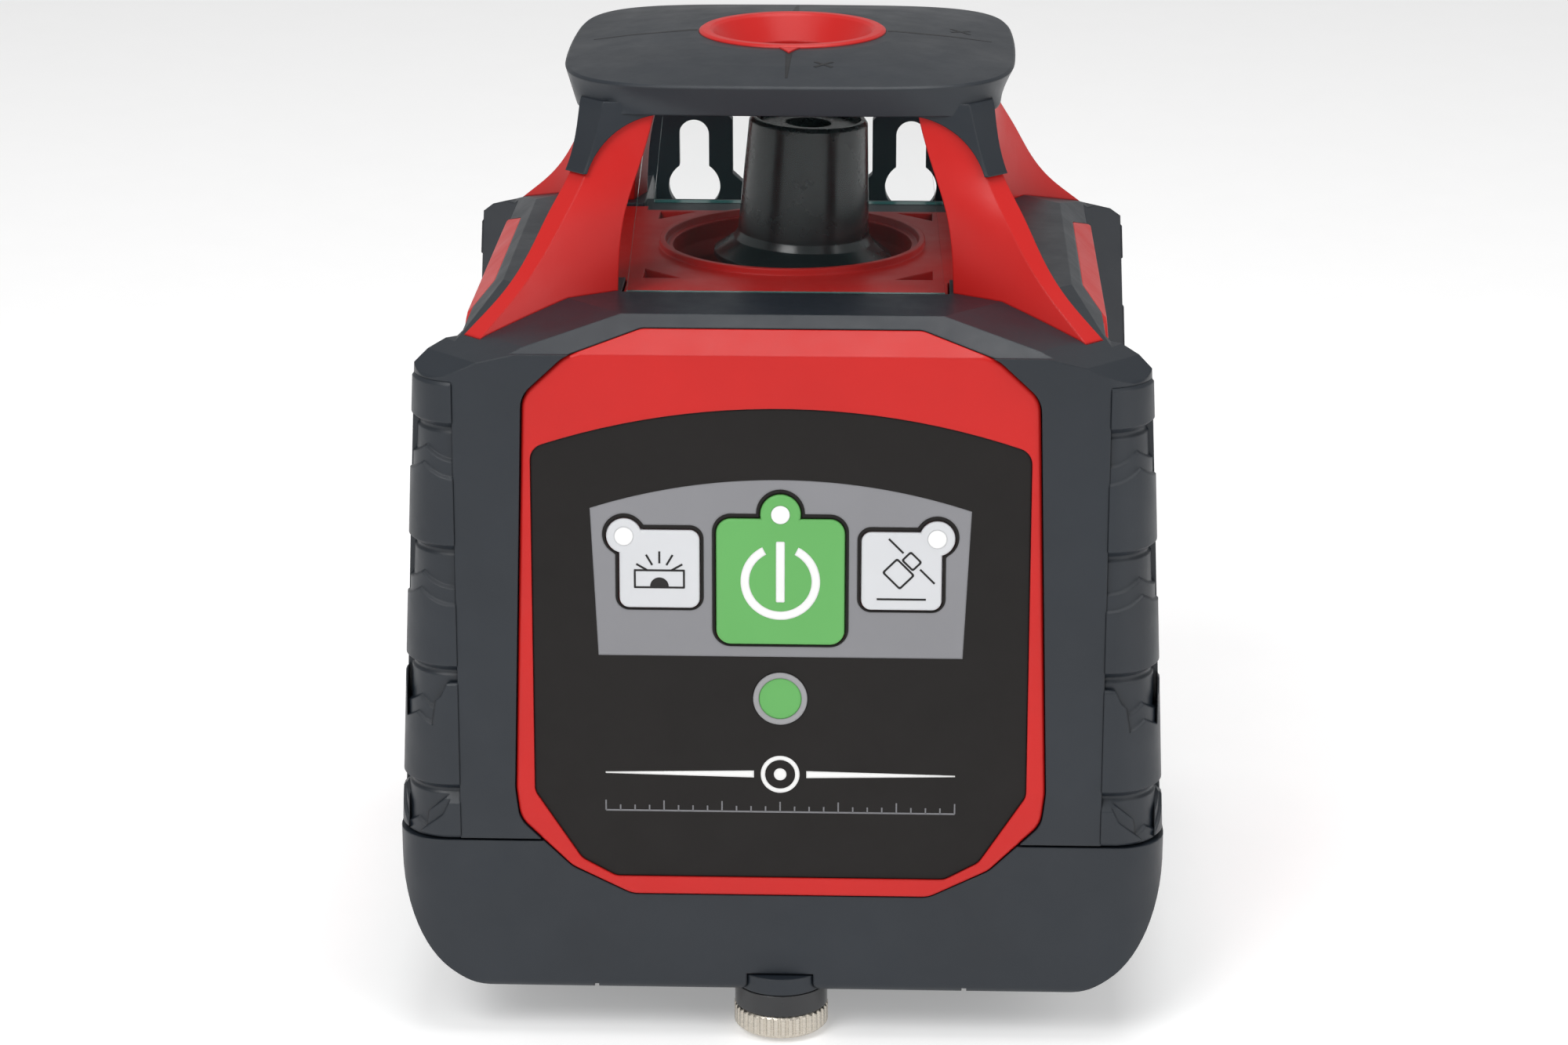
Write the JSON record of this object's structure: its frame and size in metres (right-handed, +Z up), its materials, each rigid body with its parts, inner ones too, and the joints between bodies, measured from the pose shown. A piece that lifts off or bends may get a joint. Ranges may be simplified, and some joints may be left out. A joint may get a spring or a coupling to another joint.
{
  "type": "rotating laser level",
  "caption": "Self-levelling rotating laser level: rubber-clad square housing with keypad, four-pillar glass lantern, spinning prism head and battery door below.",
  "frame": {"origin": "centre of the tripod socket's mouth, in the plane the rubber feet stand on", "axes": "+Z up along the tripod socket's axis, -Y out of the keypad, +X to the keypad's right as a user sees it"},
  "size_m": [0.1594, 0.1635, 0.2],
  "materials": {
    "shell_rubber": "satin dark overmould",
    "bumper_rubber": "satin dark rubber",
    "red_plastic": "satin moulded red plastic",
    "overlay_film": "smooth black printed film",
    "key_green": "satin green key",
    "key_grey": "satin light grey key",
    "led_white": "translucent white light window",
    "receiver_grey": "satin grey ring",
    "receiver_green": "smooth green window",
    "glass": "clear glass with greenish edges",
    "rotor_black": "satin black",
    "nickel": "nickel plated",
    "steel": "steel",
    "aluminium": "machined aluminium",
    "brass": "turned brass",
    "board_green": "circuit board",
    "black_plastic": "moulded black plastic",
    "cell_jacket": "plain cell jacket",
    "foot_rubber": "matte black rubber",
    "optic": "polished optical glass"
  },
  "bodies": {
    "housing": {"base_housing": "shell_rubber", "base_screws": "steel", "battery_cells": "cell_jacket", "battery_tray": "black_plastic", "bumper_front_left": "bumper_rubber", "bumper_front_right": "bumper_rubber", "bumper_rear_left": "bumper_rubber", "bumper_rear_right": "bumper_rubber", "cap": "shell_rubber", "cap_ring": "red_plastic", "cap_window": "glass", "chassis": "aluminium", "door_hinge_pin": "steel", "front_panel": "red_plastic", "glass_panes": "glass", "hanger_plate": "shell_rubber", "hanger_screws": "steel", "head_tray": "red_plastic", "key_switches": "steel", "keypad_board": "board_green", "keypad_overlay": "overlay_film", "left_panel": "red_plastic", "level_motors": "steel", "main_board": "board_green", "main_housing": "shell_rubber", "pillar_front_left": "red_plastic", "pillar_front_right": "red_plastic", "pillar_rear_left": "red_plastic", "pillar_rear_right": "red_plastic", "rear_panel": "red_plastic", "receiver_ring": "receiver_grey", "receiver_window": "receiver_green", "right_panel": "red_plastic", "ring_pivot_pins": "steel", "rubber_feet": "foot_rubber", "tripod_insert": "brass"},
    "power_key": {"power_key": "key_green", "power_led_window": "led_white"},
    "tilt_key": {"tilt_key": "key_grey", "tilt_led_window": "led_white"},
    "slope_key": {"slope_key": "key_grey", "slope_led_window": "led_white"},
    "battery_door": {"battery_door": "shell_rubber"},
    "thumb_screw": {"thumb_screw_collar": "rotor_black", "thumb_screw_head": "nickel"},
    "gimbal": {"gimbal_ring": "aluminium", "barrel_pivot_pins": "steel"},
    "laser_unit": {"laser_barrel": "aluminium", "diode_module": "brass", "collimator_lens": "optic", "spindle_bearings": "steel", "drive_motor": "steel", "drive_belt": "black_plastic"},
    "rotor": {"rotor_head": "rotor_black", "pentaprism": "optic", "beam_window": "optic"},
    "motor_pulley": {"motor_pulley": "black_plastic"},
    "level_plunger_x": {"level_plunger_x": "steel"},
    "level_plunger_y": {"level_plunger_y": "steel"}
  },
  "joints": [
    {"name": "power_key_press", "type": "slide", "parent": "housing", "child": "power_key", "axis": [0, 0.9988, -0.0493], "range_m": [0, 0.0005], "stiffness_N_per_m": 1500, "springref_m": -0.0003},
    {"name": "tilt_key_press", "type": "slide", "parent": "housing", "child": "tilt_key", "axis": [0, 0.9988, -0.0493], "range_m": [0, 0.0005], "stiffness_N_per_m": 1500, "springref_m": -0.0003},
    {"name": "slope_key_press", "type": "slide", "parent": "housing", "child": "slope_key", "axis": [0, 0.9988, -0.0493], "range_m": [0, 0.0005], "stiffness_N_per_m": 1500, "springref_m": -0.0003},
    {"name": "battery_door_hinge", "type": "hinge", "parent": "housing", "child": "battery_door", "pos_m": [0, -0.0245, 0.0132], "axis": [1, 0, 0], "range_deg": [0, 90]},
    {"name": "thumb_screw_turn", "type": "hinge", "parent": "battery_door", "child": "thumb_screw", "pos_m": [0, -0.0715, 0.011], "axis": [0, 0, 1], "continuous": true},
    {"name": "gimbal_tilt_x", "type": "hinge", "parent": "housing", "child": "gimbal", "pos_m": [0, 0, 0.1], "axis": [0, 1, 0], "range_deg": [-7.5, 2.5]},
    {"name": "gimbal_tilt_y", "type": "hinge", "parent": "gimbal", "child": "laser_unit", "pos_m": [0, 0, 0.1], "axis": [0.999, 0, -0.0436], "range_deg": [-5, 5]},
    {"name": "rotor_spin", "type": "hinge", "parent": "laser_unit", "child": "rotor", "pos_m": [0, 0, 0.1], "axis": [0.0436, 0, 0.999], "continuous": true},
    {"name": "motor_pulley_spin", "type": "hinge", "parent": "laser_unit", "child": "motor_pulley", "pos_m": [0.00144, 0.024, 0.13297], "axis": [0.0436, 0, 0.999], "continuous": true},
    {"name": "level_plunger_x_slide", "type": "slide", "parent": "housing", "child": "level_plunger_x", "axis": [0, 0, 1], "range_m": [-0.0022, 0.0008]},
    {"name": "level_plunger_y_slide", "type": "slide", "parent": "housing", "child": "level_plunger_y", "axis": [0, 0, 1], "range_m": [-0.0015, 0.0015]}
  ],
  "couplings": [
    {"joint": "motor_pulley_spin", "follows": "rotor_spin", "ratio": 3.973},
    {"joint": "level_plunger_x_slide", "follows": "gimbal_tilt_x", "m_per_rad": 0.016},
    {"joint": "level_plunger_y_slide", "follows": "gimbal_tilt_y", "m_per_rad": -0.016}
  ]
}
